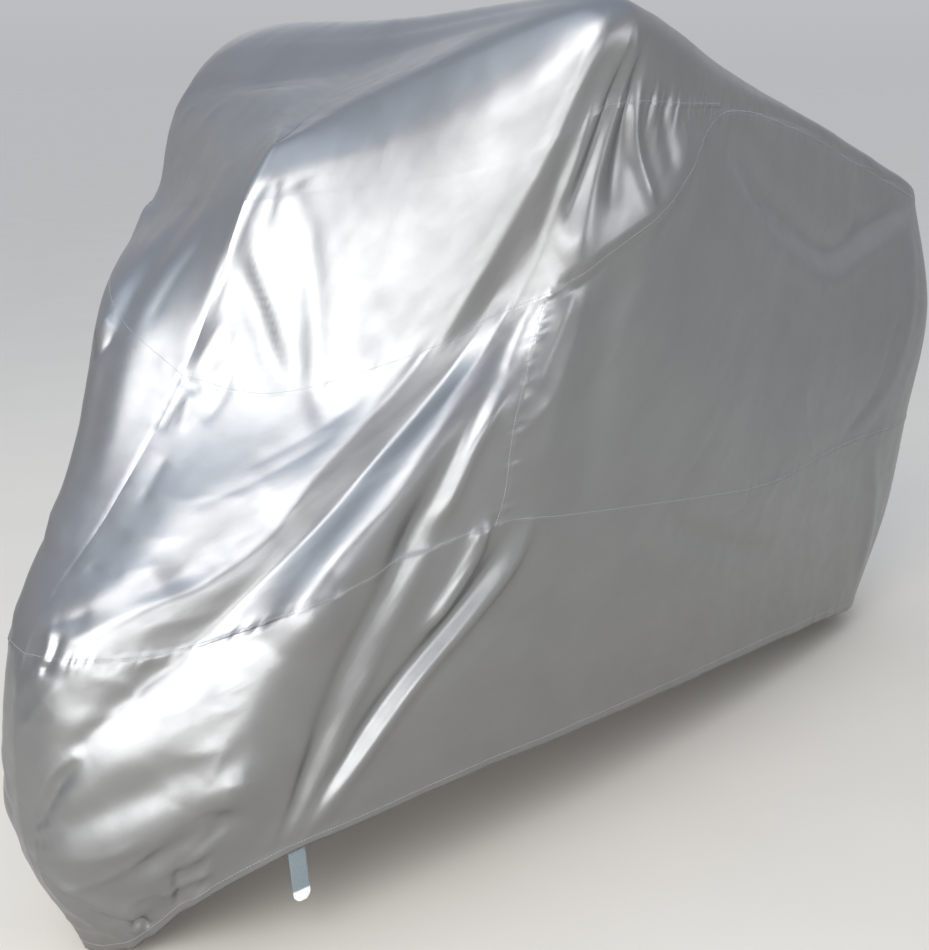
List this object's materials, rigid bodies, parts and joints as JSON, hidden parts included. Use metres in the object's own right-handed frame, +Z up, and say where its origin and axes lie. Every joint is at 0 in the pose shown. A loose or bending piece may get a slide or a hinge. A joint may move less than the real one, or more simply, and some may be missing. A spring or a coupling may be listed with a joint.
{
  "type": "motorcycle cover",
  "caption": "Hollow fitted motorcycle cover of silver-coated cloth in its draped shape, peaked over the handlebars, with sewn panels, diagonal folds and a webbing strap at the hem.",
  "frame": {"origin": "on the ground under the middle of the cover's length and width, level with the lowest point of the front hem", "axes": "+Z up, -X towards the front of the motorcycle, -Y towards its left side"},
  "size_m": [2.2534, 0.8832, 1.3053],
  "materials": {
    "cloth": "silver-coated plain weave, satin metallic sheen",
    "webbing": "flat woven webbing, matt"
  },
  "bodies": {
    "root": {"top_panel": "cloth", "upper_front_left": "cloth", "upper_front_right": "cloth", "front_left": "cloth", "front_right": "cloth", "side_left": "cloth", "side_right": "cloth", "skirt_left": "cloth", "skirt_right": "cloth", "strap": "webbing"}
  },
  "joints": []
}
